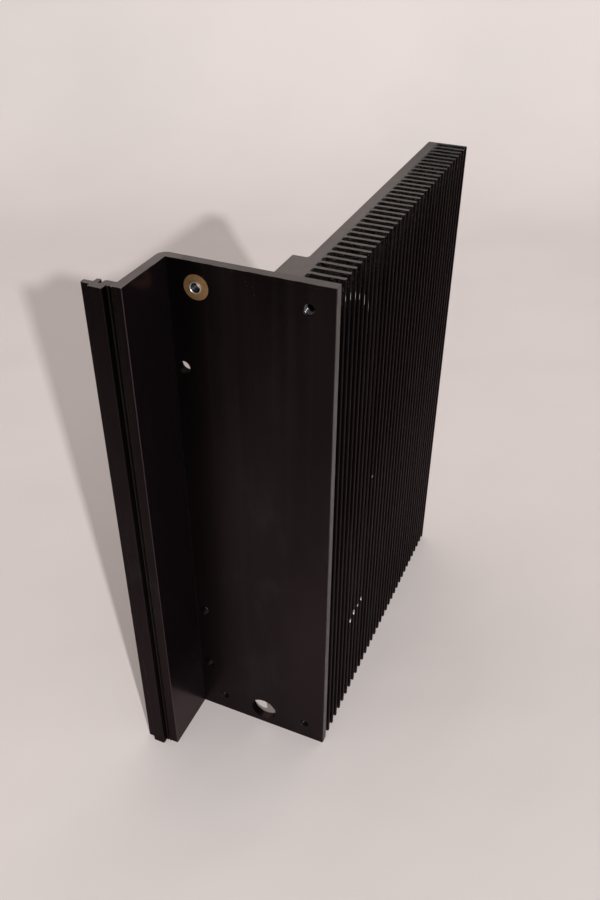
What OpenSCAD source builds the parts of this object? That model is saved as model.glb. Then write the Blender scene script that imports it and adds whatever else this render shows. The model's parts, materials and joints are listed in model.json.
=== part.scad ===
// Heat-sink chassis of a servo drive.
// One aluminium extrusion makes the side wall, the finned base, the flange arm and the
// front rail. Thread inserts and an earth washer are fitted to the side wall.
// X runs towards the fin tips, Y along the row of fins, Z along the extrusion.
// The origin is under the middle of the chassis, on the face that it stands on.

/* [Chassis] */
// Length of the extrusion, and so its height as it stands
chassis_h = 317.5; // [220:0.5:420]
// Width of the side wall, from the arm's outer face to the fin tips
wall_w = 90.2; // [75:0.1:130]
// Thickness of the side wall
wall_t = 5; // [3.5:0.1:8]
// Radius of the bend where the side wall turns into the flange arm
bend_r = 5; // [1:0.1:8]

/* [Heat sink] */
// Number of thin fins beyond the side wall
fin_count = 33; // [14:1:40]
// Distance from one fin to the next
fin_pitch = 6.45; // [5:0.05:9]
// Thickness of a thin fin
fin_t = 2.2; // [1.5:0.05:4]
// Height of the fins above the base
fin_len = 18; // [10:0.5:30]
// Thickness of the side wall's own end, which is the first fin
first_fin_t = 5.5; // [4:0.1:9]
// Radius in the corners between a fin and the base
root_r = 1.2; // [0.3:0.1:1.4]
// Radius of the corners at the fin tips
tip_r = 0.5; // [0.2:0.1:0.7]
// Thickness of the base under the fins
base_t = 6.35; // [4:0.05:10]

/* [Corner boss] */
// Width of the boss, out from the base
boss_w = 7.9; // [4:0.1:14]
// Length of the boss along the base, from the wall's inner face
boss_d = 20.5; // [10:0.5:40]
// Radius in the corner between the boss and the base
boss_fillet_r = 1.5; // [0.5:0.1:3]

/* [Flange] */
// Thickness of the flange arm
arm_t = 5; // [3.5:0.1:8]
// Distance from the wall's outer face out to the flange's outer face
arm_drop = 37; // [20:0.5:60]
// Thickness of the flange
flange_t = 4.6; // [3:0.1:7]
// Distance from the arm's outer face to the flange's free edge
flange_reach = 6; // [3.5:0.1:15]
// Radius of the flange's free edge
flange_edge_r = 1.6; // [0.4:0.1:1.6]

/* [Front rail] */
// Width of the rail, from its step to its free edge
rail_w = 12.3; // [11:0.1:20]
// Thickness of the rail
rail_t = 5.1; // [4.6:0.1:7]
// Height of the rail's step above the flange
rail_step = 3.8; // [2:0.1:4.2]
// Overlap of the rail and the flange
rail_overlap = 3.3; // [2:0.1:5]
// Width of the rebate along the rail's free edge
rebate_w = 5; // [2:0.1:6.5]
// Depth of the rebate along the rail's free edge
rebate_d = 2.2; // [1:0.1:3]
// Width of the slot between the lip and the flange
slot_w = 1.4; // [0.8:0.1:2.5]
// Depth of the slot below the rail's inner face
slot_depth = 0.4; // [0.1:0.1:1]
// Thickness of the lip
lip_t = 2.7; // [1.5:0.1:3.5]
// Height of the lip above the rail's inner face
lip_h = 3.1; // [1:0.1:6]
// Radius of the two beads beside the rail's step
bead_r = 0.5; // [0.2:0.1:0.8]
// Distance between the two beads
bead_pitch = 2; // [1.6:0.1:2.6]

/* [Corner screw holes] */
// Distance of the corner holes from the top and bottom ends
hole_end = 12.7; // [10:0.1:30]
// Distance of the fin-side holes from the fin tips
hole_fin_side = 13.2; // [8:0.1:16]
// Distance of the arm-side holes from the flange arm's inner face
hole_arm_side = 15.3; // [9:0.1:25]
// Inner diameter of an insert's thread
thread_d = 4.2; // [2.5:0.05:5.1]
// Outer diameter of a plain insert
insert_d = 5.4; // [5.2:0.05:6.5]
// Depth of a plain insert below the wall's face
insert_sink = 0.8; // [0.2:0.1:1.2]
// Distance that every insert ends short of the wall's inner face
insert_short = 0.3; // [0.1:0.1:0.8]

/* [Earth point] */
// Outer diameter of the earth washer
washer_d = 12.9; // [9:0.1:16]
// Thickness of the earth washer
washer_t = 0.5; // [0.5:0.1:2]
// Outer diameter of the earth insert, which holds the washer on
earth_insert_d = 6; // [5.5:0.1:8]
// Height of the earth insert's mouth above the washer
earth_insert_proud = 0.7; // [0.3:0.1:2]
// Chamfer at the mouth of the inserts and round the washer
edge_chamfer = 0.3; // [0.1:0.05:0.4]

/* [Other holes in the side wall] */
// Diameter of the cable hole, low in the wall beside the boss
cable_hole_d = 17; // [8:0.5:20]
// Clearance between the cable hole and the boss
cable_hole_gap = 0.8; // [0.2:0.1:4]
// Height of the middle of the cable hole
cable_hole_z = 12.2; // [12:0.1:40]
// Diameter of the three side screw holes
side_hole_d = 7; // [4:0.1:8]
// Distance of the side screw holes from the flange arm's inner face
side_hole_gap = 5.2; // [4.5:0.1:7]
// Distance of the highest side screw hole from the top end
side_hole_top = 58; // [35:0.5:90]
// Height of the middle side screw hole
side_hole_mid = 87; // [70:0.5:140]
// Height of the lowest side screw hole
side_hole_low = 40.2; // [30:0.1:60]

/* [Power module holes in the base] */
// Distance between a module's holes along the row of fins
module_span_y = 48; // [30:0.5:80]
// Distance between a module's holes along the extrusion
module_span_z = 93; // [40:0.5:100]
// Distance of the outermost module holes from the top and bottom ends
module_end = 44.75; // [15:0.25:60]
// Diameter of a tapped module hole
module_hole_d = 4.2; // [3:0.1:5]
// Solid metal left between a module hole and the gaps between the fins
module_hole_floor = 1.35; // [0.8:0.05:2]

/* [Hidden] */
$fn = 64;

// Cutters run this far past the faces that they cut
eps = 0.5;
// Steps in each rounded corner of the outline
arc_steps = 4;
bend_steps = 10;
// Small radius that breaks an extruded edge
edge_r = 0.6;
inner_r = 0.4;
// Fillets that a narrow gap or a shallow rebate limits
gap_root_r = min(root_r, 0.48 * (fin_pitch - fin_t));
rebate_edge_r = min(edge_r, 0.55 * rebate_d);

// Lines of the outline along X; the fin tips are at 0
base_x = -(fin_len + base_t);
boss_x = base_x - boss_w;
arm_out_x = -wall_w;
arm_in_x = arm_out_x + arm_t;
flange_edge_x = arm_out_x - flange_reach;
rail_step_x = flange_edge_x + rail_overlap;
rail_edge_x = rail_step_x - rail_w;
lip_in_x = flange_edge_x - slot_w;
lip_out_x = lip_in_x - lip_t;
rebate_x = rail_edge_x + rebate_w;
bead_x = rail_step_x + 1.4 * bead_r;

// Lines of the outline along Y; the wall's outer face is at 0
depth_y = first_fin_t + fin_count * fin_pitch;
boss_y = wall_t + boss_d;
flange_y = -arm_drop;
flange_back_y = flange_y + flange_t;
rail_y = flange_y - rail_step;
rail_back_y = rail_y + rail_t;
rebate_y = rail_y + rebate_d;
slot_floor_y = rail_back_y - slot_depth;
lip_tip_y = rail_back_y + lip_h;

// Holes in the wall
holes_fin_x = -hole_fin_side;
holes_arm_x = arm_in_x + hole_arm_side;
holes_low_z = hole_end;
holes_high_z = chassis_h - hole_end;
side_hole_x = arm_in_x + side_hole_gap;
side_hole_z = [side_hole_low, side_hole_mid, chassis_h - side_hole_top];
cable_hole_x = boss_x - cable_hole_gap - cable_hole_d / 2;
module_hole_depth = base_t - module_hole_floor;
module_y = (boss_y + depth_y) / 2;
module_low_z = module_end + module_span_z / 2;

anodised = [0.10, 0.09, 0.09];
yellow_zinc = [0.72, 0.58, 0.38];
steel = [0.62, 0.62, 0.60];

// Points on the arc that rounds corner p, between its neighbours a and b
function unit(v) = v / norm(v);
function rounded(a, p, b, r, steps) =
    let (
        u = unit(a - p),
        w = unit(b - p),
        half = acos(max(-1, min(1, u * w))) / 2,
        reach = r / tan(half),
        centre = p + unit(u + w) * (r / sin(half)),
        start = p + u * reach - centre,
        finish = p + w * reach - centre,
        a0 = atan2(start[1], start[0]),
        turn_raw = atan2(finish[1], finish[0]) - a0,
        turn = turn_raw > 180 ? turn_raw - 360 : (turn_raw < -180 ? turn_raw + 360 : turn_raw)
    )
    [for (i = [0:steps]) centre + r * [cos(a0 + turn * i / steps), sin(a0 + turn * i / steps)]];

// An outline from corners given as [x, y, radius, steps]; radius 0 keeps a corner sharp
function outline(c) = [
    for (i = [0:len(c) - 1])
        let (
            n = len(c),
            a = c[(i + n - 1) % n],
            p = c[i],
            b = c[(i + 1) % n]
        )
        each p[2] == 0
            ? [[p[0], p[1]]]
            : rounded([a[0], a[1]], [p[0], p[1]], [b[0], b[1]], p[2], p[3])
];

// A half-round bead on the flange, drawn towards the rail
function bead(x) = [
    for (i = [0:arc_steps])
        [x + bead_r * cos(180 * i / arc_steps), flange_y - bead_r * sin(180 * i / arc_steps), 0]
];

// The corners of one gap between two fins, from the far fin's tip to the near fin's tip
function gap(i) =
    let (near = first_fin_t + i * fin_pitch, far = near + fin_pitch - fin_t)
    [
        [0, far, tip_r, 2],
        [-fin_len, far, gap_root_r, arc_steps],
        [-fin_len, near, gap_root_r, arc_steps],
        [0, near, tip_r, 2],
    ];

profile = outline(concat(
    [
        [0, 0, edge_r, 2],
        [arm_in_x, 0, inner_r, 2],
        [arm_in_x, flange_y, edge_r, arc_steps],
    ],
    bead(bead_x + bead_pitch),
    bead(bead_x),
    [
        [rail_step_x, flange_y, 0],
        [rail_step_x, rail_y, edge_r, arc_steps],
        [rebate_x, rail_y, rebate_edge_r, arc_steps],
        [rebate_x, rebate_y, inner_r, 2],
        [rail_edge_x, rebate_y, edge_r, arc_steps],
        [rail_edge_x, rail_back_y, edge_r, arc_steps],
        [lip_out_x, rail_back_y, inner_r, 2],
        [lip_out_x, lip_tip_y, lip_t / 3, arc_steps],
        [lip_in_x, lip_tip_y, lip_t / 3, arc_steps],
        [lip_in_x, slot_floor_y, 0],
        [flange_edge_x, slot_floor_y, 0],
        [flange_edge_x, flange_back_y, flange_edge_r, arc_steps],
        [arm_out_x, flange_back_y, inner_r, 2],
        [arm_out_x, wall_t, min(bend_r, arm_t, wall_t), bend_steps],
        [boss_x, wall_t, inner_r, 2],
        [boss_x, boss_y, edge_r, 2],
        [base_x, boss_y, boss_fillet_r, arc_steps],
        [base_x, depth_y, edge_r, 2],
        [0, depth_y, tip_r, 2],
    ],
    [for (i = [fin_count - 1:-1:0]) each gap(i)]
));

// Moves a piece from the corner of the outline to the part's origin
module seated() {
    translate([-rail_edge_x / 2, -(depth_y + rail_y) / 2, 0]) children();
}

// A cylinder along Y, from y0 to y1, through the wall at x, z
module along_y(x, z, y0, y1, d) {
    translate([x, y1, z]) rotate([90, 0, 0]) cylinder(d = d, h = y1 - y0);
}

// A cone along Y, from diameter d0 at y0 to d1 at y1
module cone_y(x, z, y0, y1, d0, d1) {
    translate([x, y1, z]) rotate([90, 0, 0]) cylinder(d1 = d1, d2 = d0, h = y1 - y0);
}

// One power module's four tapped holes in the base's inner face
module module_holes(z) {
    for (dy = [-0.5, 0.5]) {
        for (dz = [-0.5, 0.5]) {
            translate([base_x - eps, module_y + dy * module_span_y, z + dz * module_span_z])
                rotate([0, 90, 0])
                cylinder(d = module_hole_d, h = module_hole_depth + eps);
        }
    }
}

module wall_holes() {
    // Corner holes for the plain inserts, with a countersunk mouth
    for (p = [[holes_fin_x, holes_high_z], [holes_fin_x, holes_low_z], [holes_arm_x, holes_low_z]]) {
        along_y(p[0], p[1], -eps, first_fin_t + eps, insert_d);
        cone_y(p[0], p[1], 0, edge_chamfer, insert_d + 2 * edge_chamfer, insert_d);
    }
    along_y(holes_arm_x, holes_high_z, -eps, wall_t + eps, earth_insert_d);
    along_y(cable_hole_x, cable_hole_z, -eps, wall_t + eps, cable_hole_d);
    for (z = side_hole_z) {
        along_y(side_hole_x, z, -eps, wall_t + eps, side_hole_d);
    }
}

module heatsink_chassis() {
    color(anodised)
    seated()
    difference() {
        linear_extrude(height = chassis_h) polygon(profile);
        wall_holes();
        module_holes(module_low_z);
        module_holes(chassis_h - module_low_z);
    }
}

module earth_washer() {
    color(yellow_zinc)
    seated()
    difference() {
        union() {
            along_y(holes_arm_x, holes_high_z, -washer_t + edge_chamfer, 0, washer_d);
            cone_y(
                holes_arm_x, holes_high_z, -washer_t, -washer_t + edge_chamfer,
                washer_d - 2 * edge_chamfer, washer_d
            );
        }
        along_y(holes_arm_x, holes_high_z, -washer_t - eps, eps, earth_insert_d);
    }
}

// A threaded insert whose mouth is at y0 and whose inner end is at y1; its wall limits the chamfer
module threaded_insert(x, z, y0, y1, d) {
    mouth = min(edge_chamfer, (d - thread_d) / 4);
    difference() {
        along_y(x, z, y0, y1, d);
        along_y(x, z, y0 - eps, y1 + eps, thread_d);
        cone_y(x, z, y0, y0 + mouth, thread_d + 2 * mouth, thread_d);
    }
}

module earth_insert() {
    color(steel)
    seated()
    threaded_insert(
        holes_arm_x, holes_high_z, -washer_t - earth_insert_proud, wall_t - insert_short,
        earth_insert_d
    );
}

// A plain insert sunk into the wall; end_y is the wall's inner face behind it
module plain_insert(x, z, end_y) {
    color(steel)
    seated()
    threaded_insert(x, z, insert_sink, end_y - insert_short, insert_d);
}

module insert_top_fin_side() {
    plain_insert(holes_fin_x, holes_high_z, first_fin_t);
}

module insert_bottom_arm_side() {
    plain_insert(holes_arm_x, holes_low_z, wall_t);
}

module insert_bottom_fin_side() {
    plain_insert(holes_fin_x, holes_low_z, first_fin_t);
}

heatsink_chassis();
earth_washer();
earth_insert();
insert_top_fin_side();
insert_bottom_arm_side();
insert_bottom_fin_side();
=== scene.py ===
"""Looks of a bare servo drive chassis: a black anodised extrusion with thread inserts and an earth point.

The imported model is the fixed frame. Each class below finishes one sub-assembly around it, in metres.
"""

import json
import logging
import math
from collections.abc import Callable
from dataclasses import dataclass, field
from enum import Enum
from functools import cached_property

import bmesh  # noqa: E402
import bpy  # noqa: E402
from mathutils import Matrix, Vector  # noqa: E402

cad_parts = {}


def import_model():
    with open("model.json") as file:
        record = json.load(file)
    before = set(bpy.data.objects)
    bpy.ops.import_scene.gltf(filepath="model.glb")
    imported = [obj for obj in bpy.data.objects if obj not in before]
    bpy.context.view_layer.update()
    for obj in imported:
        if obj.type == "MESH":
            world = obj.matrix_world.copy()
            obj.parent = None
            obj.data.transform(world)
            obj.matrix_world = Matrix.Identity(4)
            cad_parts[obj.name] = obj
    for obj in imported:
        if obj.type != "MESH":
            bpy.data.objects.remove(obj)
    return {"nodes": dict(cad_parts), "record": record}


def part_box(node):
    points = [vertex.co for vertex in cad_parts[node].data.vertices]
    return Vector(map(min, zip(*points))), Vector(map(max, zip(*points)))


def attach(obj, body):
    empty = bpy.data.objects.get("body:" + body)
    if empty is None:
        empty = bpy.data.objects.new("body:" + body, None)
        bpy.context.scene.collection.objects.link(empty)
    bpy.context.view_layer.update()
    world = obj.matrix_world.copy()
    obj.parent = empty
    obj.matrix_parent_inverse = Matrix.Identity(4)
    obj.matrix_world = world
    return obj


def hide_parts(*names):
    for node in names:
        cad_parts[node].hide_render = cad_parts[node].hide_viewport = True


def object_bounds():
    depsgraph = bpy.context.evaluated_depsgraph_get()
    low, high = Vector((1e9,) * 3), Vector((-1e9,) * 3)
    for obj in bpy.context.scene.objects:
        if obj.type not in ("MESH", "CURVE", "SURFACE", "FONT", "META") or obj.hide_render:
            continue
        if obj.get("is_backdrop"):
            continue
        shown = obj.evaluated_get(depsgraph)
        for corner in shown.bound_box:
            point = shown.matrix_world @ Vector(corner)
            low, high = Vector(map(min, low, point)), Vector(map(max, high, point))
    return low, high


MM = 0.001
BODY = "root"
LOG = logging.getLogger("chassis")

WELD = 0.001 * MM
TURNED_SMOOTH = math.radians(28)

Socket = bpy.types.NodeSocket
Triple = tuple[float, float, float]
Span = tuple[float, float]
Outline = list[tuple[float, float]]

FULL: Span = (0.0, 1.0)
MIDDLE: Span = (0.3, 0.7)


class Slot(Enum):
    """The record's material slots."""

    ANODISED = "anodised"
    YELLOW_ZINC = "yellow_zinc"
    STEEL = "steel"


class Surface(Enum):
    """Which finish a face of the extrusion has; the value is its material index."""

    ANODISED = 0
    SAWN_END = 1
    BROKEN_EDGE = 2
    RUBBED_TIP = 3
    BARE_METAL = 4


# ---------------------------------------------------------------- finishes


@dataclass(frozen=True)
class Pattern:
    """A noise with a scale along each axis, whose values in span are mapped to the two in to."""

    scale: Triple
    detail: float
    span: Span
    to: Span
    rough: float = 0.5


class NodeGraph:
    """Adds and links the shader nodes of one material."""

    speck_core = 0.5

    def __init__(self, name: str) -> None:
        """Makes an empty node material.

        Args:
            name: The material's name.
        """
        self.material: bpy.types.Material = bpy.data.materials.new(name)
        self.material.use_nodes = True
        self.tree = self.material.node_tree
        self.tree.nodes.clear()
        self.output = self.add("ShaderNodeOutputMaterial")
        self.shader = self.add("ShaderNodeBsdfPrincipled")
        self.link(self.shader.outputs["BSDF"], self.output.inputs["Surface"])
        self.place = self.add("ShaderNodeTexCoord").outputs["Object"]

    def add(self, kind: str) -> bpy.types.Node:
        """Adds a node of that kind."""
        return self.tree.nodes.new(kind)

    def link(self, source: Socket, target: Socket) -> None:
        """Links an output to an input."""
        self.tree.links.new(source, target)

    def mapped(self, scale: Triple, at: Vector | None = None) -> Socket:
        """Scales the object coordinates round a point.

        Args:
            scale: The factor along each axis.
            at: The point that becomes the origin, or None for the object's own.

        Returns:
            The scaled coordinates.
        """
        mapping = self.add("ShaderNodeMapping")
        mapping.inputs["Scale"].default_value = scale
        if at is not None:
            mapping.inputs["Location"].default_value = [-a * s for a, s in zip(at, scale)]
        self.link(self.place, mapping.inputs["Vector"])
        return mapping.outputs["Vector"]

    def noise(self, scale: Triple, detail: float, rough: float = 0.5) -> Socket:
        """Adds a noise.

        Args:
            scale: Its scale along each axis.
            detail: How many octaves it has.
            rough: How strong the fine octaves are.

        Returns:
            A value from 0 to 1.
        """
        node = self.add("ShaderNodeTexNoise")
        node.inputs["Scale"].default_value = 1.0
        node.inputs["Detail"].default_value = detail
        node.inputs["Roughness"].default_value = rough
        self.link(self.mapped(scale), node.inputs["Vector"])
        return node.outputs["Fac"]

    def pattern(self, kind: Pattern) -> Socket:
        """A noise mapped to the values of a pattern."""
        return self.ramp(self.noise(kind.scale, kind.detail, kind.rough), kind.span, kind.to)

    def specks(self, scale: float, size: float) -> Socket:
        """Adds small round spots.

        Args:
            scale: How close together they are.
            size: How large they are, as a share of their spacing.

        Returns:
            1 in a spot and 0 outside it.
        """
        node = self.add("ShaderNodeTexVoronoi")
        node.inputs["Scale"].default_value = 1.0
        self.link(self.mapped((scale, scale, scale)), node.inputs["Vector"])
        return self.ramp(node.outputs["Distance"], (size, size * self.speck_core), FULL)

    def ramp(self, value: Socket, span: Span, to: Span) -> Socket:
        """Maps one span of values to another, clamped.

        Args:
            value: The value to map.
            span: Where it comes from.
            to: What the two ends of span become.

        Returns:
            The mapped value.
        """
        node = self.add("ShaderNodeMapRange")
        for name, number in zip(("From Min", "From Max", "To Min", "To Max"), (*span, *to)):
            node.inputs[name].default_value = number
        self.link(value, node.inputs["Value"])
        return node.outputs["Result"]

    def math(self, kind: str, a: Socket, b: Socket | float) -> Socket:
        """Adds one Math node.

        Args:
            kind: Its operation.
            a: Its first value.
            b: Its second value, set when it is a number and linked when it is a socket.

        Returns:
            Its result.
        """
        node = self.add("ShaderNodeMath")
        node.operation = kind
        self.link(a, node.inputs[0])
        if isinstance(b, (int, float)):
            node.inputs[1].default_value = b
        else:
            self.link(b, node.inputs[1])
        return node.outputs["Value"]

    def plus(self, a: Socket, b: Socket) -> Socket:
        """The sum of two values."""
        return self.math("ADD", a, b)

    def times(self, a: Socket, b: Socket | float) -> Socket:
        """The product of two values."""
        return self.math("MULTIPLY", a, b)

    def above(self, letter: str, limit: float) -> Socket:
        """1 where a coordinate is over the limit and 0 elsewhere."""
        return self.math("GREATER_THAN", self.axis(letter), limit)

    def below(self, letter: str, limit: float) -> Socket:
        """1 where a coordinate is under the limit and 0 elsewhere."""
        return self.math("LESS_THAN", self.axis(letter), limit)

    def mix(self, factor: Socket, a: Socket | Triple, b: Socket | Triple) -> Socket:
        """Mixes two colours.

        Args:
            factor: 0 for a, 1 for b.
            a: The first colour.
            b: The second colour.

        Returns:
            The mixed colour.
        """
        node = self.add("ShaderNodeMix")
        node.data_type = "RGBA"
        self.link(factor, node.inputs["Factor"])
        for name, value in (("A", a), ("B", b)):
            socket = [s for s in node.inputs if s.name == name and s.type == "RGBA"][0]
            if isinstance(value, tuple):
                socket.default_value = (*value, 1.0)
            else:
                self.link(value, socket)
        return [s for s in node.outputs if s.type == "RGBA"][0]

    def axis(self, letter: str) -> Socket:
        """Splits off one object coordinate.

        Args:
            letter: X, Y or Z.

        Returns:
            The coordinate, in metres.
        """
        node = self.add("ShaderNodeSeparateXYZ")
        self.link(self.place, node.inputs["Vector"])
        return node.outputs[letter]

    def bump(self, height: Socket, depth: float, strength: float) -> None:
        """Drives the shader's normal from a height.

        Args:
            height: The height, from 0 to 1.
            depth: How deep a height of 1 is, in metres.
            strength: How much of the bump is used.
        """
        node = self.add("ShaderNodeBump")
        node.inputs["Strength"].default_value = strength
        node.inputs["Distance"].default_value = depth
        self.link(height, node.inputs["Height"])
        self.link(node.outputs["Normal"], self.shader.inputs["Normal"])

    def finish(self, colour: Socket, roughness: Socket, metallic: Socket | float) -> bpy.types.Material:
        """Gives the shader its values.

        Args:
            colour: The base colour.
            roughness: The roughness.
            metallic: The metallic value, set when it is a number and linked when it is a socket.

        Returns:
            The finished material.
        """
        self.link(colour, self.shader.inputs["Base Color"])
        self.link(roughness, self.shader.inputs["Roughness"])
        if isinstance(metallic, float):
            self.shader.inputs["Metallic"].default_value = metallic
        else:
            self.link(metallic, self.shader.inputs["Metallic"])
        return self.material


@dataclass(frozen=True)
class BlackAnodise:
    """Satin black anodise with fine die lines, handling smudges and a little dust, and painted reflections:
    lighter low down, and pale paper low on the arm's inner face.
    """

    dark: Triple = (0.0058, 0.0038, 0.0040)
    light: Triple = (0.0300, 0.0220, 0.0240)
    smudge: Triple = (0.036, 0.031, 0.033)
    # Colours of the painted reflection on the arm's inner face: pale paper low down, a lighter black above.
    arm_reflection_low: Triple = (0.100, 0.080, 0.084)
    arm_reflection_high: Triple = (0.050, 0.036, 0.042)
    slot_film: Triple = (0.070, 0.068, 0.058)
    dust: Triple = (0.42, 0.40, 0.37)
    edge_tint: tuple[float, float, float, float] = (0.43, 0.41, 0.41, 1.0)
    metallic: float = 0.93
    top: float = 317.5 * MM
    clouds: Pattern = Pattern((22, 22, 9), 4, (0.35, 0.65), (0.0, 0.2))
    # How much lighter the black is from the bottom to the top: a painted reflection of the pale floor.
    floor_reflection_tone: Span = (0.85, 0.0)
    rubbed_x: Span = (22 * MM, 49 * MM)
    rubbed_z: Span = (90 * MM, 200 * MM)
    rubbed_tone: Span = (0.35, 0.0)
    streaks: Pattern = Pattern((240, 240, 2.5), 3, (0.50, 0.75), (0.0, 0.16))
    smears: Pattern = Pattern((34, 34, 15), 6, (0.54, 0.72), (0.0, 0.8), 0.65)
    smudge_top: float = 215 * MM
    smudge_reach: float = 60 * MM
    smudge_fade: Span = (1.0, 0.12)
    arm_reflection_z: Span = (30 * MM, 70 * MM)
    film: Pattern = Pattern((300, 300, 90), 4, (0.35, 0.65), (0.1, 1.0), 0.7)
    film_reach: float = 24 * MM
    dust_patches: Pattern = Pattern((45, 45, 45), 3, (0.45, 0.7), (0.0, 0.5))
    dust_reach: float = 30 * MM
    fine_dust: Span = (1300, 0.26)
    coarse_dust: Span = (420, 0.10)
    dust_cover: float = 0.8
    die_lines: Triple = (1500, 1500, 6)
    line_rough: Span = (0.33, 0.39)
    line_depth: float = 0.01 * MM
    line_strength: float = 0.10
    smear_rough: float = 0.14
    dust_rough: float = 0.3
    arm_gloss: float = 0.15
    slot_x: Span = (34 * MM, 52 * MM)
    first_slot_y: float = -83.2 * MM
    arm_face_x: float = -32.6 * MM
    arm_face_reach: float = 0.3 * MM
    wall_face_y: float = -88.775 * MM
    corner_reach: float = 0.5 * MM

    def make(self) -> bpy.types.Material:
        """Builds the material.

        Returns:
            The material.
        """
        g = NodeGraph("black_anodise")
        height = g.axis("Z")
        on_arm, in_slot = self._on_arm(g), self._in_slot(g)
        colour = g.mix(self._tone(g, height), self.dark, self.light)
        colour = g.mix(g.pattern(self.streaks), colour, self.smudge)
        smear_z = (self.smudge_top - self.smudge_reach, self.smudge_top)
        smear = g.times(g.pattern(self.smears), g.ramp(height, smear_z, self.smudge_fade))
        colour = g.mix(smear, colour, self.smudge)
        # Painted reflection on the arm's inner face: pale paper low down, and a lighter black above it.
        arm_reflection = g.mix(g.ramp(height, self.arm_reflection_z, FULL), self.arm_reflection_low, self.arm_reflection_high)
        colour = g.mix(on_arm, colour, arm_reflection)
        film = g.times(g.ramp(height, (self.top - self.film_reach, self.top), FULL), in_slot)
        colour = g.mix(g.times(film, g.pattern(self.film)), colour, self.slot_film)
        spots = self._dust_spots(g, height, in_slot)
        colour = g.mix(g.times(spots, self.dust_cover), colour, self.dust)
        lines = g.noise(self.die_lines, 2)
        rough = g.plus(g.ramp(lines, MIDDLE, self.line_rough), g.times(smear, self.smear_rough))
        rough = g.plus(rough, g.times(spots, self.dust_rough))
        rough = g.math("SUBTRACT", rough, g.times(on_arm, self.arm_gloss))
        g.bump(lines, self.line_depth, self.line_strength)
        g.shader.inputs["Specular Tint"].default_value = self.edge_tint
        return g.finish(colour, rough, self.metallic)

    def _tone(self, g: NodeGraph, height: Socket) -> Socket:
        """Says how light the black is: lighter low down, a painted reflection of the pale floor, and
        lighter again where it is rubbed low down beside the fins.

        Args:
            g: The material's graph.
            height: The height coordinate.

        Returns:
            0 for the dark colour and 1 for the light one.
        """
        # The lighter black low down is a painted reflection of the pale floor.
        tone = g.plus(g.pattern(self.clouds), g.ramp(height, (0.0, self.top), self.floor_reflection_tone))
        rubbed = g.ramp(g.axis("X"), self.rubbed_x, FULL)
        rubbed = g.times(rubbed, g.ramp(height, self.rubbed_z, self.rubbed_tone))
        return g.plus(tone, rubbed)

    def _dust_spots(self, g: NodeGraph, height: Socket, in_slot: Socket) -> Socket:
        """Scatters dust near the top: fine between the fins, and coarse in patches everywhere.

        Args:
            g: The material's graph.
            height: The height coordinate.
            in_slot: 1 between the fins.

        Returns:
            1 in a spot and 0 outside it.
        """
        near_top = g.ramp(height, (self.top - self.dust_reach, self.top), FULL)
        fine = g.times(g.specks(*self.fine_dust), g.times(near_top, in_slot))
        coarse = g.times(g.specks(*self.coarse_dust), g.times(g.pattern(self.dust_patches), near_top))
        return g.math("MAXIMUM", fine, coarse)

    def _on_arm(self, g: NodeGraph) -> Socket:
        """Finds the arm's inner face, which is glossier and gets a painted reflection.

        Args:
            g: The material's graph.

        Returns:
            1 on the face and 0 elsewhere.
        """
        inner = g.above("X", self.arm_face_x - self.arm_face_reach)
        outer = g.below("X", self.arm_face_x + self.arm_face_reach)
        return g.times(g.times(inner, outer), g.below("Y", self.wall_face_y - self.corner_reach))

    def _in_slot(self, g: NodeGraph) -> Socket:
        """1 on the walls between the fins and 0 elsewhere."""
        between = g.times(g.above("X", self.slot_x[0]), g.below("X", self.slot_x[1]))
        return g.times(between, g.above("Y", self.first_slot_y))


@dataclass(frozen=True)
class SawnEnd:
    """The sawn ends: a greyer, thinner finish with fine saw marks across the section.

    The base plate is palest and the wall and the near fins are greyer; painted shade darkens the ends
    toward the far fins, which are nearly black.
    """

    dark: Triple = (0.060, 0.050, 0.046)
    light: Triple = (0.115, 0.098, 0.090)
    base_dark: Triple = (0.080, 0.067, 0.062)
    base_light: Triple = (0.150, 0.128, 0.118)
    # Painted shade toward the far fins.
    far_painted_shade: Triple = (0.020, 0.016, 0.015)
    far_fin_painted_shade: Triple = (0.006, 0.005, 0.0045)
    speck: Triple = (0.33, 0.30, 0.28)
    strokes: Triple = (260, 2600, 200)
    clouds: Triple = (60, 60, 60)
    stroke_share: Span = (0.4, 1.0)
    cloud_share: Span = (0.45, 1.0)
    far_y: Span = (10 * MM, 130 * MM)
    far_dark: Span = (0.0, 0.85)
    tip_y: Span = (50 * MM, 105 * MM)
    tip_dark: Span = (0.0, 0.8)
    fin_root_x: float = 34 * MM
    wall_from_x: float = -25 * MM
    wall_to_y: float = -83.6 * MM
    specks: Span = (700, 0.14)
    roughness: Span = (0.42, 0.58)
    metallic: Span = (0.35, 0.85)
    mark_depth: float = 0.03 * MM
    mark_strength: float = 0.4

    def make(self) -> bpy.types.Material:
        """Builds the material.

        Returns:
            The material.
        """
        g = NodeGraph("sawn_end")
        strokes, cloud = g.noise(self.strokes, 3), g.noise(self.clouds, 4)
        blend = g.times(g.ramp(strokes, MIDDLE, self.stroke_share), g.ramp(cloud, MIDDLE, self.cloud_share))
        on_fin = g.above("X", self.fin_root_x)
        on_wall = g.times(g.above("X", self.wall_from_x), g.below("Y", self.wall_to_y))
        base = g.mix(blend, self.base_dark, self.base_light)
        colour = g.mix(g.math("MAXIMUM", on_fin, on_wall), base, g.mix(blend, self.dark, self.light))
        # Painted shade: the ends darken toward the far fins, and the far fins most.
        colour = g.mix(g.ramp(g.axis("Y"), self.far_y, self.far_dark), colour, self.far_painted_shade)
        tip = g.times(g.ramp(g.axis("Y"), self.tip_y, self.tip_dark), on_fin)
        colour = g.mix(tip, colour, self.far_fin_painted_shade)
        colour = g.mix(g.times(g.specks(*self.specks), cloud), colour, self.speck)
        rough = g.ramp(strokes, MIDDLE, self.roughness)
        g.bump(strokes, self.mark_depth, self.mark_strength)
        return g.finish(colour, rough, g.ramp(tip, self.tip_dark, self.metallic))


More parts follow.
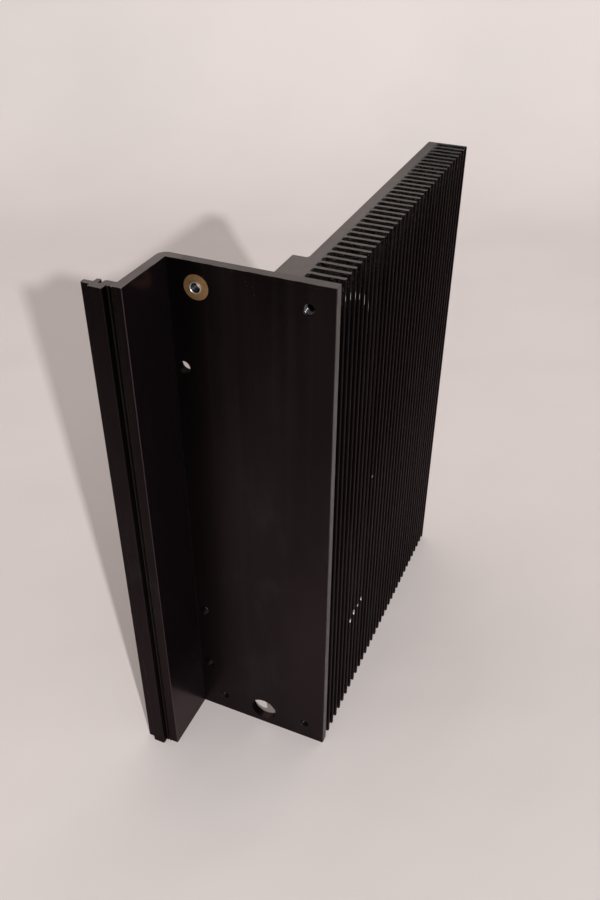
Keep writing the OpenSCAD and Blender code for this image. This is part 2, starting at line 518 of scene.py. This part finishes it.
@dataclass(frozen=True)
class BrokenEdge:
    """Edges where handling has thinned the black."""

    kept: Triple = (0.026, 0.022, 0.021)
    worn: Triple = (0.16, 0.145, 0.135)
    name: str = "broken_edge"
    wear: Pattern = Pattern((160, 160, 60), 5, (0.46, 0.62), FULL, 0.6)
    die_lines: Triple = (1800, 1800, 10)
    roughness: Span = (0.34, 0.46)
    metallic: float = 0.4
    line_depth: float = 0.02 * MM
    line_strength: float = 0.3

    def make(self) -> bpy.types.Material:
        """Builds the material.

        Returns:
            The material.
        """
        g = NodeGraph(self.name)
        colour = g.mix(g.pattern(self.wear), self.kept, self.worn)
        lines = g.noise(self.die_lines, 2)
        g.bump(lines, self.line_depth, self.line_strength)
        return g.finish(colour, g.ramp(lines, MIDDLE, self.roughness), self.metallic)


@dataclass(frozen=True)
class BareAluminium:
    """Bright metal in the fin-tip marks: nicks, and painted highlights near the top of fins 1 to 6."""

    low: Triple = (0.30, 0.29, 0.28)
    high: Triple = (0.62, 0.61, 0.60)
    grain: Triple = (2200, 2200, 700)
    roughness: Span = (0.25, 0.42)
    metallic: float = 0.9
    grain_depth: float = 0.03 * MM
    grain_strength: float = 0.5

    def make(self) -> bpy.types.Material:
        """Builds the material.

        Returns:
            The material.
        """
        g = NodeGraph("bare_aluminium")
        grain = g.noise(self.grain, 4)
        g.bump(grain, self.grain_depth, self.grain_strength)
        colour = g.mix(grain, self.low, self.high)
        return g.finish(colour, g.ramp(grain, MIDDLE, self.roughness), self.metallic)


@dataclass(frozen=True)
class TurnedMetal:
    """Plated steel, turned, with rings round one axis along Y."""

    name: str
    low: Triple
    high: Triple
    centre: Vector
    ring_pitch: float = 0.32 * MM
    roughness: Span = (0.28, 0.44)
    grain: Triple = (900, 900, 900)
    ring_share: float = 0.35
    grain_share: float = 0.65
    metallic: float = 0.85
    ring_depth: float = 0.02 * MM
    ring_strength: float = 0.35

    def make(self) -> bpy.types.Material:
        """Builds the material.

        Returns:
            The material.
        """
        g = NodeGraph(self.name)
        radius = g.add("ShaderNodeVectorMath")
        radius.operation = "LENGTH"
        g.link(g.mapped((1.0, 0.0, 1.0), self.centre), radius.inputs[0])
        turns = g.times(radius.outputs["Value"], 2 * math.pi / self.ring_pitch)
        rings = g.ramp(g.math("SINE", turns, 0.0), (-1.0, 1.0), FULL)
        grain = g.noise(self.grain, 4)
        blend = g.plus(g.times(rings, self.ring_share), g.times(grain, self.grain_share))
        colour = g.mix(blend, self.low, self.high)
        g.bump(rings, self.ring_depth, self.ring_strength)
        return g.finish(colour, g.ramp(grain, MIDDLE, self.roughness), self.metallic)


@dataclass(frozen=True)
class Paper:
    """Pale matt paper, a little uneven."""

    colour: Triple = (0.80, 0.735, 0.71)
    shade: float = 0.94
    clouds: Triple = (2.6, 2.6, 2.6)
    cloud_span: Span = (0.35, 0.65)
    roughness: Span = (0.75, 0.9)
    waves: Triple = (5.0, 5.0, 5.0)
    wave_depth: float = 8 * MM
    wave_strength: float = 0.5

    def make(self) -> bpy.types.Material:
        """Builds the material.

        Returns:
            The material.
        """
        g = NodeGraph("paper")
        cloud = g.noise(self.clouds, 4)
        shaded = tuple(c * self.shade for c in self.colour)
        colour = g.mix(g.ramp(cloud, self.cloud_span, FULL), shaded, self.colour)
        g.bump(g.noise(self.waves, 3), self.wave_depth, self.wave_strength)
        return g.finish(colour, g.ramp(cloud, MIDDLE, self.roughness), 0.0)


# ---------------------------------------------------------------- modelling helpers


def pick_only(piece: bpy.types.Object) -> None:
    """Selects one object and makes it active.

    Args:
        piece: The object.
    """
    bpy.ops.object.select_all(action="DESELECT")
    piece.select_set(True)
    bpy.context.view_layer.objects.active = piece


def select_in_edit(piece: bpy.types.Object, wanted: Callable[[bmesh.types.BMEdge], bool]) -> int:
    """Selects the edges of a piece in edit mode for which wanted is true.

    Args:
        piece: The active object, in edit mode.
        wanted: Says whether an edge is selected.

    Returns:
        How many edges were selected.
    """
    bpy.ops.mesh.select_mode(type="EDGE")
    bpy.ops.mesh.select_all(action="DESELECT")
    mesh = bmesh.from_edit_mesh(piece.data)
    found = [edge for edge in mesh.edges if wanted(edge)]
    for edge in found:
        edge.select_set(True)
    bmesh.update_edit_mesh(piece.data)
    return len(found)


def join(pieces: list[bpy.types.Object]) -> bpy.types.Object:
    """Joins objects into the first of them.

    Args:
        pieces: The objects.

    Returns:
        The joined object, which is active.
    """
    pick_only(pieces[0])
    for piece in pieces[1:]:
        piece.select_set(True)
    bpy.ops.object.join()
    return bpy.context.object


def settle(piece: bpy.types.Object) -> bpy.types.Object:
    """Puts a finished piece's place in its mesh, and makes it ride on the body.

    Args:
        piece: The finished piece.

    Returns:
        The same piece.
    """
    pick_only(piece)
    bpy.ops.object.transform_apply(location=True, rotation=True, scale=True)
    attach(piece, BODY)
    LOG.info("made %s with %d faces", piece.name, len(piece.data.polygons))
    return piece


def lathe(name: str, outline: Outline, centre: Vector, steps: int) -> bpy.types.Object:
    """Spins a closed outline round an axis along Y.

    Args:
        name: The piece's name.
        outline: Corners as (radius, y), in metres.
        centre: A point on the axis; its y is not used.
        steps: Segments round the axis.

    Returns:
        A closed mesh object at its place.
    """
    bpy.ops.object.select_all(action="DESELECT")
    bpy.ops.mesh.primitive_circle_add(vertices=len(outline), radius=1.0, location=(0, 0, 0))
    piece = bpy.context.object
    piece.name = name
    for vertex, (radius, y) in zip(piece.data.vertices, outline):
        vertex.co = (centre.x + radius, y, centre.z)
    bpy.ops.object.mode_set(mode="EDIT")
    bpy.ops.mesh.select_all(action="SELECT")
    bpy.ops.mesh.spin(steps=steps, angle=2 * math.pi, center=(centre.x, 0, centre.z), axis=(0, 1, 0))
    bpy.ops.mesh.select_all(action="SELECT")
    bpy.ops.mesh.remove_doubles(threshold=WELD)
    bpy.ops.mesh.normals_make_consistent(inside=False)
    bpy.ops.object.mode_set(mode="OBJECT")
    bpy.ops.object.shade_smooth_by_angle(angle=TURNED_SMOOTH)
    return piece


# ---------------------------------------------------------------- sub-assemblies


@dataclass
class WallHole:
    """A round hole through the side wall, along Y."""

    centre: Vector
    radius: float


@dataclass
class TipMark:
    """A bright bare-metal mark cut into a fin's tip; most are nicks, and a few are painted highlights.

    The fin's number comes first, then where the mark is across the tip (-1 and 1 are its two edges), then
    how high up it is, and its size across, along and into the tip.
    """

    fin: int
    across: float
    height: float
    width: float
    length: float
    depth: float


@dataclass
class Extrusion:
    """The chassis itself, finished from the CAD solid.

    The sawn ends and the rims of the holes get a broken edge, and a few fin tips get bright bare-metal
    marks: nicks, and a row of painted highlights near the top of fins 1 to 6.
    """

    node: bpy.types.Object
    wall_y: float
    wall_t: float
    holes: list[WallHole]
    end_bevel: float = 0.12 * MM
    rim_bevel: float = 0.3 * MM
    rim_reach: float = 0.05 * MM
    first_fin_t: float = 5.5 * MM
    fin_pitch: float = 6.45 * MM
    fin_t: float = 2.2 * MM
    arm_in_x: float = -32.6 * MM
    corner_fillet: float = 0.5 * MM
    flat: float = 0.02 * MM
    tip_reach: float = 0.1 * MM
    end_reach: float = 1.5
    end_facing: float = 0.99
    edge_facing: float = 0.15
    tip_facing: float = 0.9
    merge_angle: float = math.radians(0.3)
    smooth_angle: float = math.radians(24)
    tip_marks: list[TipMark] = field(
        default_factory=lambda: [
            # The first six, in a row near the top of fins 1 to 6, are painted highlights: bare metal where
            # glints fall on the rounded tip corners. The rest are nicks.
            TipMark(1, -0.14, 308.2 * MM, 0.45 * MM, 3.0 * MM, 0.1 * MM),
            TipMark(2, -0.1, 306.3 * MM, 0.5 * MM, 4.0 * MM, 0.14 * MM),
            TipMark(3, 0.15, 303.8 * MM, 0.5 * MM, 4.5 * MM, 0.14 * MM),
            TipMark(4, -0.5, 300.7 * MM, 0.45 * MM, 3.5 * MM, 0.1 * MM),
            TipMark(5, 0.4, 295.8 * MM, 0.55 * MM, 6.0 * MM, 0.2 * MM),
            TipMark(6, 0.55, 289.1 * MM, 0.55 * MM, 6.5 * MM, 0.2 * MM),
            TipMark(6, -0.7, 71.0 * MM, 2.4 * MM, 3.8 * MM, 0.6 * MM),
            TipMark(7, -0.9, 72.6 * MM, 2.8 * MM, 4.8 * MM, 0.7 * MM),
            TipMark(7, 0.7, 76.8 * MM, 1.2 * MM, 2.2 * MM, 0.3 * MM),
            TipMark(8, -0.3, 72.3 * MM, 2.0 * MM, 2.6 * MM, 0.45 * MM),
            TipMark(9, -0.7, 72.6 * MM, 2.0 * MM, 3.4 * MM, 0.5 * MM),
            TipMark(11, 0.85, 164.8 * MM, 0.8 * MM, 2.2 * MM, 0.25 * MM),
            TipMark(10, -0.5, 167.6 * MM, 0.7 * MM, 1.8 * MM, 0.2 * MM),
        ]
    )

    def build(self) -> bpy.types.Object:
        """Makes the finished extrusion and hides the CAD solid.

        Returns:
            The finished extrusion.
        """
        low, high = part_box(self.node.name)
        piece = self._copy_node()
        self._clean()
        self._fillet_corner(piece)
        self._bevel_ends(piece, low, high)
        self._bevel_rims(piece)
        bpy.ops.object.mode_set(mode="OBJECT")
        self._cut_tip_marks(piece, high)
        self._dress(piece, low, high)
        bpy.ops.object.shade_smooth_by_angle(angle=self.smooth_angle)
        self._weigh_normals(piece)
        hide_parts(self.node.name)
        return settle(piece)

    def _copy_node(self) -> bpy.types.Object:
        """Copies the CAD solid with its own mesh, and makes the copy active.

        Returns:
            The copy.
        """
        piece = self.node.copy()
        piece.data = self.node.data.copy()
        piece.name = "chassis_extrusion"
        for key in list(piece.keys()):
            del piece[key]
        piece.parent = None
        bpy.context.scene.collection.objects.link(piece)
        pick_only(piece)
        return piece

    def _weigh_normals(self, piece: bpy.types.Object) -> None:
        """Lets the large flat faces keep their own normals, so that only the narrow curved ones are round.

        Args:
            piece: The extrusion.
        """
        weigh = piece.modifiers.new("flat_faces", "WEIGHTED_NORMAL")
        weigh.mode = "FACE_AREA"
        weigh.weight = 100
        weigh.keep_sharp = True
        pick_only(piece)
        bpy.ops.object.modifier_apply(modifier=weigh.name)

    def _clean(self) -> None:
        """Joins the loose triangles of the active piece into whole flat faces, and stays in edit mode."""
        bpy.ops.object.mode_set(mode="EDIT")
        bpy.ops.mesh.select_all(action="SELECT")
        bpy.ops.mesh.remove_doubles(threshold=WELD)
        bpy.ops.mesh.dissolve_limited(angle_limit=self.merge_angle)

    def _bevel(
        self,
        piece: bpy.types.Object,
        wanted: Callable[[bmesh.types.BMEdge], bool],
        offset: float,
        segments: int = 2,
    ) -> None:
        """Bevels some edges.

        Args:
            piece: The active object, in edit mode.
            wanted: Says whether an edge is bevelled.
            offset: The bevel's width, in metres.
            segments: How many faces it has across.
        """
        count = select_in_edit(piece, wanted)
        bpy.ops.mesh.bevel(
            offset=offset, segments=segments, profile=0.5, clamp_overlap=True, affect="EDGES"
        )
        LOG.info("bevelled %d edges by %.2f mm", count, offset / MM)

    def _fillet_corner(self, piece: bpy.types.Object) -> None:
        """Rounds the inner corner where the arm leaves the side wall, as the die leaves it.

        Args:
            piece: The active object, in edit mode.
        """

        def on_corner(edge: bmesh.types.BMEdge) -> bool:
            """Whether an edge runs along the corner."""
            return all(
                abs(v.co.x - self.arm_in_x) < self.flat and abs(v.co.y - self.wall_y) < self.flat
                for v in edge.verts
            )

        self._bevel(piece, on_corner, self.corner_fillet, segments=4)

    def _bevel_ends(self, piece: bpy.types.Object, low: Vector, high: Vector) -> None:
        """Breaks the edges round both sawn ends.

        Args:
            piece: The active object, in edit mode.
            low: The low corner of its box.
            high: The high corner of its box.
        """

        def on_end(edge: bmesh.types.BMEdge) -> bool:
            """Whether an edge lies in a sawn end."""
            ends = {round(v.co.z / self.flat) for v in edge.verts}
            return len(ends) == 1 and any(abs(edge.verts[0].co.z - z) < self.flat for z in (low.z, high.z))

        self._bevel(piece, on_end, self.end_bevel)

    def _bevel_rims(self, piece: bpy.types.Object) -> None:
        """Breaks the rims of the holes through the wall, on both faces.

        Args:
            piece: The active object, in edit mode.
        """
        planes = (self.wall_y, self.wall_y + self.wall_t)

        def on_rim(edge: bmesh.types.BMEdge) -> bool:
            """Whether an edge lies on the rim of a hole."""
            points = [v.co for v in edge.verts]
            if not any(all(abs(p.y - y) < self.flat for p in points) for y in planes):
                return False
            return any(
                all(
                    abs(math.hypot(p.x - h.centre.x, p.z - h.centre.z) - h.radius) < self.rim_reach
                    for p in points
                )
                for h in self.holes
            )

        self._bevel(piece, on_rim, self.rim_bevel)

    def _tip_y(self, fin: int) -> float:
        """The middle of a thin fin's tip; fin 1 is the one nearest to the side wall."""
        return self.wall_y + self.first_fin_t + fin * self.fin_pitch - self.fin_t / 2

    def _lozenge(self, mark: TipMark, tip_x: float) -> bpy.types.Object:
        """Makes the small rounded lozenge that cuts one mark, whose own finish is bare metal.

        Args:
            mark: The nick.
            tip_x: Where the fin tips are.

        Returns:
            The cutter.
        """
        bpy.ops.object.select_all(action="DESELECT")
        at = (tip_x, self._tip_y(mark.fin) + mark.across * self.fin_t / 2, mark.height)
        bpy.ops.mesh.primitive_ico_sphere_add(subdivisions=2, radius=1.0, location=at)
        cutter = bpy.context.object
        cutter.scale = (mark.depth, mark.width / 2, mark.length / 2)
        bpy.ops.object.transform_apply(location=True, rotation=True, scale=True)
        self._add_slots(cutter)
        for face in cutter.data.polygons:
            face.material_index = Surface.BARE_METAL.value
        return cutter

    def _cut_tip_marks(self, piece: bpy.types.Object, high: Vector) -> None:
        """Cuts the marks into the fin tips: nicks, and painted highlights.

        Args:
            piece: The extrusion.
            high: The high corner of its box.
        """
        self._add_slots(piece)
        cutter = join([self._lozenge(mark, high.x) for mark in self.tip_marks])
        pick_only(piece)
        cut = piece.modifiers.new("tip_marks", "BOOLEAN")
        cut.operation = "DIFFERENCE"
        cut.solver = "EXACT"
        cut.object = cutter
        bpy.ops.object.modifier_apply(modifier=cut.name)
        bpy.data.objects.remove(cutter)

    def _add_slots(self, piece: bpy.types.Object) -> None:
        """Gives a piece one material slot for each kind of surface.

        Args:
            piece: The extrusion or a cutter.
        """
        piece.data.materials.clear()
        for surface in Surface:
            piece.data.materials.append(self.finishes[surface])

    @cached_property
    def finishes(self) -> dict[Surface, bpy.types.Material]:
        """The materials of the extrusion, made once."""
        rubbed = BrokenEdge((0.017, 0.0140, 0.0130), (0.046, 0.0375, 0.0357), "rubbed_tip")
        return {
            Surface.ANODISED: BlackAnodise().make(),
            Surface.SAWN_END: SawnEnd().make(),
            Surface.BROKEN_EDGE: BrokenEdge().make(),
            Surface.RUBBED_TIP: rubbed.make(),
            Surface.BARE_METAL: BareAluminium().make(),
        }

    def _dress(self, piece: bpy.types.Object, low: Vector, high: Vector) -> None:
        """Gives each face its finish by its place and the way that it faces.

        Args:
            piece: The extrusion.
            low: The low corner of its box.
            high: The high corner of its box.
        """
        tip_end = self.wall_y + self.first_fin_t + self.flat
        for face in piece.data.polygons:
            if face.material_index == Surface.BARE_METAL.value:
                continue
            at, facing = face.center, face.normal
            near_end = min(abs(at.z - low.z), abs(at.z - high.z)) < self.end_bevel * self.end_reach
            surface = Surface.ANODISED
            if near_end and abs(facing.z) > self.end_facing:
                surface = Surface.SAWN_END
            elif near_end and abs(facing.z) > self.edge_facing:
                surface = Surface.BROKEN_EDGE
            elif facing.x > self.tip_facing and at.x > high.x - self.tip_reach and at.y < tip_end:
                surface = Surface.RUBBED_TIP
            face.material_index = surface.value


@dataclass(frozen=True)
class InsertTones:
    """The colours of a bush's rim and bore, with painted shade making the bore darker, and the lowest
    roughness of its bore.
    """

    rim_low: Triple = (0.30, 0.30, 0.29)
    rim_high: Triple = (0.62, 0.62, 0.60)
    # The bore's colours are painted shade, darker than the rim of the same steel.
    painted_bore_low: Triple = (0.010, 0.010, 0.012)
    painted_bore_high: Triple = (0.060, 0.060, 0.066)
    bore_rough: float = 0.28


PLAIN = InsertTones()
# The top fin-side insert: the same steel with a lighter, glossier bore, a painted highlight so that glints
# show in the hole.
PAINTED_GLINT_BORE = InsertTones(painted_bore_high=(0.26, 0.26, 0.27), bore_rough=0.16)
# The two bottom inserts: the same steel, with painted shade darkening the rim and bore.
SHADED_INSERT = InsertTones(
    rim_low=(0.012, 0.011, 0.012),
    rim_high=(0.040, 0.037, 0.040),
    painted_bore_low=(0.006, 0.006, 0.008),
    painted_bore_high=(0.030, 0.028, 0.033),
)


@dataclass
class ThreadedInsert:
    """A turned bush with a real helical thread in its bore."""

    node: str
    tones: InsertTones = PLAIN
    major_d: float = 5.0 * MM
    minor_d: float = 4.2 * MM
    pitch: float = 0.8 * MM
    mouth: float = 0.3 * MM
    ring_pitch: float = 0.2 * MM
    bore_rough_range: float = 0.12
    bore_margin: float = 0.05 * MM
    lip_round: float = 0.3
    root_sink: float = 0.03 * MM
    ridge: tuple[float, float, float, float] = (0.0, 0.42, 0.55, 0.97)
    steps: int = 64
    thread_steps: int = 40

    def build(self) -> bpy.types.Object:
        """Makes the bush and its thread as one piece, in place of the CAD solid.

        Returns:
            The finished bush.
        """
        low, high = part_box(self.node)
        centre = (low + high) / 2
        outer = (high.x - low.x) / 2
        body = lathe(self.node + "_bush", self._outline(low.y, high.y, outer), centre, self.steps)
        piece = join([body, self._thread(low.y + self.mouth, high.y - self.mouth / 2, centre)])
        self._dress(piece, centre)
        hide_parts(self.node)
        return settle(piece)

    def _dress(self, piece: bpy.types.Object, centre: Vector) -> None:
        """Gives the rim and the bore their metal.

        Args:
            piece: The bush with its thread.
            centre: The middle of the bush.
        """
        tones, rough = self.tones, self.tones.bore_rough
        rim = TurnedMetal(self.node + "_rim", tones.rim_low, tones.rim_high, centre.copy(), self.ring_pitch)
        bore = TurnedMetal(
            self.node + "_bore",
            tones.painted_bore_low,
            tones.painted_bore_high,
            centre.copy(),
            self.ring_pitch,
            (rough, rough + self.bore_rough_range),
        )
        piece.data.materials.clear()
        piece.data.materials.append(rim.make())
        piece.data.materials.append(bore.make())
        # The bore's darker colours are painted shade inside the hole.
        edge = self.major_d / 2 + self.bore_margin
        for face in piece.data.polygons:
            away = math.hypot(face.center.x - centre.x, face.center.z - centre.z)
            face.material_index = int(away < edge)

    def _outline(self, y0: float, y1: float, outer: float) -> Outline:
        """Draws the bush's section: an outer wall with a rounded lip, and a bore with a countersunk mouth.

        Args:
            y0: Where the bush starts.
            y1: Where it ends.
            outer: Its outer radius.

        Returns:
            Corners as (radius, y).
        """
        bore = self.major_d / 2
        lip = min(self.mouth, (outer - bore) / 2)
        return [
            (bore + lip, y0),
            (outer - lip, y0),
            (outer - lip * self.lip_round, y0 + lip * self.lip_round),
            (outer, y0 + lip),
            (outer, y1 - lip),
            (outer - lip, y1),
            (bore + lip, y1),
            (bore, y1 - lip),
            (bore, y0 + lip),
        ]

    def _thread(self, y0: float, y1: float, centre: Vector) -> bpy.types.Object:
        """Sweeps a four-cornered ridge along a helix, and closes its ends.

        Args:
            y0: Where the thread starts.
            y1: Where the room for it ends.
            centre: A point on its axis.

        Returns:
            The thread, at its place.
        """
        root, crest = self.major_d / 2 + self.root_sink, self.minor_d / 2
        bpy.ops.object.select_all(action="DESELECT")
        bpy.ops.mesh.primitive_circle_add(vertices=4, radius=1.0, location=(0, 0, 0))
        ridge = bpy.context.object
        for vertex, radius, share in zip(ridge.data.vertices, (root, crest, crest, root), self.ridge):
            vertex.co = (radius, 0.0, share * self.pitch)
        screw = ridge.modifiers.new("thread", "SCREW")
        screw.axis = "Z"
        screw.angle = 2 * math.pi
        screw.screw_offset = self.pitch
        screw.iterations = max(1, int((y1 - y0) / self.pitch) - 1)
        screw.steps = self.thread_steps
        screw.render_steps = self.thread_steps
        screw.use_merge_vertices = False
        bpy.ops.object.modifier_apply(modifier=screw.name)
        bpy.ops.object.mode_set(mode="EDIT")
        bpy.ops.mesh.select_all(action="DESELECT")
        bpy.ops.mesh.select_non_manifold()
        bpy.ops.mesh.edge_face_add()
        bpy.ops.mesh.select_all(action="SELECT")
        bpy.ops.mesh.normals_make_consistent(inside=False)
        bpy.ops.object.mode_set(mode="OBJECT")
        turn = Matrix.Rotation(-math.pi / 2, 4, "X")
        ridge.matrix_world = Matrix.Translation((centre.x, y0, centre.z)) @ turn
        bpy.ops.object.transform_apply(location=True, rotation=True, scale=True)
        return ridge


@dataclass
class EarthWasher:
    """The plated washer, with turned grooves and a rolled rim."""

    node: str = "earth_washer"
    grooves: int = 5
    groove_depth: float = 0.03 * MM
    groove_w: float = 0.22 * MM
    rim: float = 0.16 * MM
    chamfer_share: float = 0.5
    rim_round: float = 0.3
    steps: int = 96
    low_tone: Triple = (0.19, 0.11, 0.047)
    high_tone: Triple = (0.47, 0.285, 0.13)

    def build(self) -> bpy.types.Object:
        """Makes the washer in place of the CAD solid.

        Returns:
            The finished washer.
        """
        low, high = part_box(self.node)
        bush_low, bush_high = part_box("earth_insert")
        centre = (low + high) / 2
        outer = (high.x - low.x) / 2
        inner = (bush_high.x - bush_low.x) / 2
        section = self._outline(low.y, high.y, inner, outer)
        piece = lathe("earth_washer_turned", section, centre, self.steps)
        finish = TurnedMetal("yellow_zinc", self.low_tone, self.high_tone, centre.copy())
        piece.data.materials.append(finish.make())
        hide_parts(self.node)
        return settle(piece)

    def _outline(self, front: float, back: float, inner: float, outer: float) -> Outline:
        """Draws the washer's section, from its bore along the grooved face to its rim and back.

        Args:
            front: Where its front face is.
            back: Where its back face is.
            inner: Its bore's radius.
            outer: Its outer radius.

        Returns:
            Corners as (radius, y).
        """
        chamfer = self.rim * self.chamfer_share
        points = [(inner, front + chamfer), (inner + chamfer, front)]
        pitch = (outer - inner - 2 * self.rim) / (self.grooves + 1)
        for number in range(1, self.grooves + 1):
            middle = inner + self.rim + number * pitch
            points += [
                (middle - self.groove_w, front),
                (middle, front + self.groove_depth),
                (middle + self.groove_w, front),
            ]
        points += [
            (outer - self.rim, front),
            (outer - self.rim * self.rim_round, front + self.rim * self.rim_round),
            (outer, front + self.rim),
            (outer, back),
            (inner, back),
        ]
        return points


# ---------------------------------------------------------------- setting


@dataclass(frozen=True)
class Studio:
    """Pale paper floor, soft light and the camera."""

    azimuth: float = math.radians(23.18)
    elevation: float = math.radians(35.96)
    roll: float = math.radians(0.34)
    distance: float = 553.6 * MM
    lens_mm: float = 35.16
    clip: Span = (0.01, 50.0)
    aim_offset: Vector = Vector((-1.9 * MM, -1.3 * MM, -0.7 * MM))
    paper_reach: float = 16.0
    paper_h: float = 5.0
    front: float = 1.0
    flat_to: float = 0.72
    curve_r: float = 0.45
    curve_steps: int = 16
    world_colour: tuple[float, float, float, float] = (1.0, 0.985, 0.985, 1.0)
    world_strength: float = 0.42
    key_at: Vector = Vector((2.42, -2.66, 1.905))
    key_to: Vector = Vector((0.0, 0.0, 0.12))
    key_size: float = 0.09
    key_power: float = 128.0

    def camera(self, centre: Vector) -> None:
        """Places the camera so that it looks at the middle of the chassis.

        Args:
            centre: The middle of the chassis.
        """
        forward = Vector(
            (
                -math.sin(self.azimuth) * math.cos(self.elevation),
                math.cos(self.azimuth) * math.cos(self.elevation),
                -math.sin(self.elevation),
            )
        )
        right = Vector((math.cos(self.azimuth), math.sin(self.azimuth), 0.0))
        up = right.cross(forward)
        turned_right = right * math.cos(self.roll) + up * math.sin(self.roll)
        turned_up = up * math.cos(self.roll) - right * math.sin(self.roll)
        data = bpy.data.cameras.new("camera")
        data.lens = self.lens_mm
        data.clip_start, data.clip_end = self.clip
        camera = bpy.data.objects.new("camera", data)
        bpy.context.scene.collection.objects.link(camera)
        turn = Matrix((turned_right, turned_up, -forward)).transposed().to_4x4()
        camera.matrix_world = Matrix.Translation(centre + self.aim_offset - forward * self.distance) @ turn
        bpy.context.scene.camera = camera

    def _sweep(self) -> Outline:
        """Draws the paper's section: flat, then curving up to upright.

        Returns:
            Points as (how far behind the chassis, height).
        """
        section = [(-self.paper_reach, 0.0), (-self.front, 0.0), (self.flat_to / 2, 0.0)]
        for step in range(self.curve_steps + 1):
            turn = math.pi / 2 * step / self.curve_steps
            run, rise = self.curve_r * math.sin(turn), self.curve_r * (1 - math.cos(turn))
            section.append((self.flat_to + run, rise))
        section.append((self.flat_to + self.curve_r, self.paper_h))
        return section

    def floor(self) -> None:
        """A wide sheet of paper that curves up well behind the chassis."""
        section = self._sweep()
        bpy.ops.object.select_all(action="DESELECT")
        bpy.ops.mesh.primitive_grid_add(x_subdivisions=1, y_subdivisions=len(section) - 1, size=2.0)
        floor = bpy.context.object
        floor.name = "paper_floor"
        ahead = Vector((-math.sin(self.azimuth), math.cos(self.azimuth), 0.0))
        across = Vector((math.cos(self.azimuth), math.sin(self.azimuth), 0.0))
        for vertex in floor.data.vertices:
            # The grid reaches from -1 to 1, so this counts the rows from its near edge.
            row = round((vertex.co.y + 1.0) / 2.0 * (len(section) - 1))
            run, rise = section[row]
            side = self.paper_reach if vertex.co.x > 0 else -self.paper_reach
            vertex.co = across * side + ahead * run + Vector((0.0, 0.0, rise))
        bpy.ops.object.shade_smooth()
        floor.data.materials.append(Paper().make())
        floor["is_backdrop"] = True

    def lights(self) -> None:
        """A small soft key from the right and in front, and a pale surrounding."""
        scene = bpy.context.scene
        world = bpy.data.worlds.new("surrounding")
        world.use_nodes = True
        background = world.node_tree.nodes["Background"]
        background.inputs["Color"].default_value = self.world_colour
        background.inputs["Strength"].default_value = self.world_strength
        scene.world = world
        scene.view_settings.view_transform = "Standard"
        data = bpy.data.lights.new("key", "AREA")
        data.size = self.key_size
        data.energy = self.key_power
        light = bpy.data.objects.new("key", data)
        light.location = self.key_at
        light.rotation_euler = (self.key_to - self.key_at).to_track_quat("-Z", "Y").to_euler()
        scene.collection.objects.link(light)


# ---------------------------------------------------------------- the whole


def wall_holes(record: dict) -> list[WallHole]:
    """The plain round holes through the side wall, from the record's mounts."""
    bores = [m for m in record["mounts"] if m["kind"] == "bore"]
    return [WallHole(Vector(m["pos_m"]), m["dims"]["r_mm"] * MM) for m in bores]


def wall_thickness(record: dict) -> float:
    """The side wall's thickness, which is the length of a hole through it."""
    return next(m["dims"]["length_mm"] * MM for m in record["mounts"] if m["name"] == "cable_hole")


def main() -> None:
    """Loads the frame, finishes each sub-assembly and sets the scene."""
    logging.basicConfig(level=logging.INFO, format="%(name)s: %(message)s")
    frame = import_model()
    cad_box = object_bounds()
    record = frame["record"]
    studio = Studio()
    studio.camera((cad_box[0] + cad_box[1]) / 2)
    Extrusion(
        node=frame["nodes"]["heatsink_chassis"],
        wall_y=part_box("earth_washer")[1].y,
        wall_t=wall_thickness(record),
        holes=wall_holes(record),
    ).build()
    EarthWasher().build()
    ThreadedInsert("earth_insert").build()
    ThreadedInsert("insert_top_fin_side", PAINTED_GLINT_BORE).build()
    for node in ("insert_bottom_arm_side", "insert_bottom_fin_side"):
        ThreadedInsert(node, SHADED_INSERT).build()
    studio.floor()
    studio.lights()


if __name__ == "__main__":
    main()
